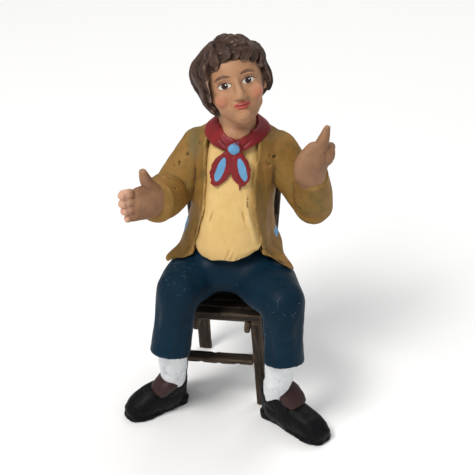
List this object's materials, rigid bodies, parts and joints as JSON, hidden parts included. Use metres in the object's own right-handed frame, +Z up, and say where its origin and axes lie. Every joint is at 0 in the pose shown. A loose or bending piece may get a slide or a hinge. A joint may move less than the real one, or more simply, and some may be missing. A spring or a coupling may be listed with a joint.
{
  "type": "nativity figure",
  "caption": "Hand-painted clay nativity figure of a seated villager on a small stick chair, arms raised, stands on shoes and chair legs.",
  "frame": {"origin": "middle of the whole object's box, on the floor it stands on", "axes": "+Z up, the sitter faces -Y, the sitter's left is +X"},
  "size_m": [0.0536, 0.0416, 0.0966],
  "materials": {
    "painted_clay": "hand-painted matte clay",
    "stained_wood": "dark stained, worn edges"
  },
  "bodies": {
    "root": {"figure": "painted_clay", "front_leg_right": "stained_wood", "front_leg_left": "stained_wood", "back_post_right": "stained_wood", "back_post_left": "stained_wood", "side_rail_right": "stained_wood", "side_rail_left": "stained_wood", "back_rail": "stained_wood", "front_stretcher": "stained_wood", "front_rail": "stained_wood", "seat_plank_1": "stained_wood", "seat_plank_2": "stained_wood", "seat_plank_3": "stained_wood", "seat_plank_4": "stained_wood", "seat_plank_5": "stained_wood", "seat_plank_6": "stained_wood", "back_slat_lower": "stained_wood", "back_slat_upper": "stained_wood"}
  },
  "joints": []
}
